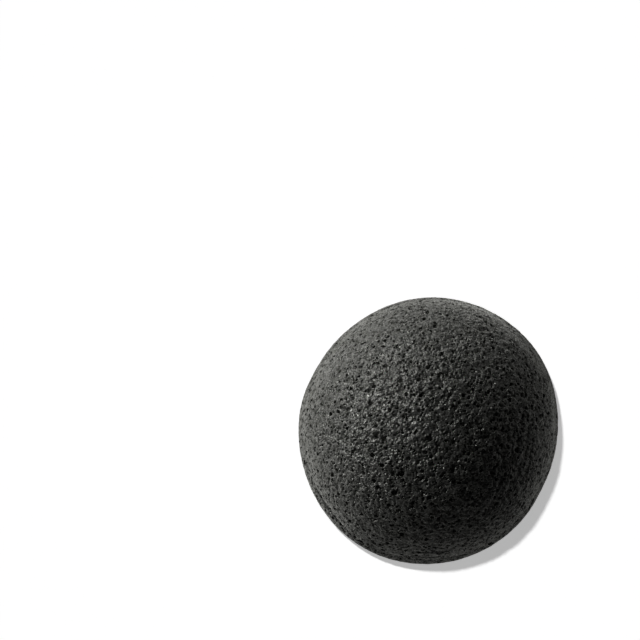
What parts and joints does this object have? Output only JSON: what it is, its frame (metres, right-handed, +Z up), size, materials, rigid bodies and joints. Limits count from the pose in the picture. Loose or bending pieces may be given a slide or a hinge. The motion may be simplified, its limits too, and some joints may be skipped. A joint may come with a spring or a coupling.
{
  "type": "konjac sponge",
  "caption": "Half-ball facial cleansing sponge of porous charcoal konjac, with a crowned dome, a soft rolled lip and a flat rubbing face.",
  "frame": {"origin": "centre of the flat rubbing face, on which the sponge rests", "axes": "+Z up from the flat face to the top of the dome, +Y along the longer way across the oval plan, +X along the shorter way"},
  "size_m": [0.0804, 0.0846, 0.041],
  "materials": {
    "charcoal_konjac": "matte porous foam of konjac gel filled with charcoal, slightly moist"
  },
  "bodies": {
    "root": {"sponge_body": "charcoal_konjac"}
  },
  "joints": []
}
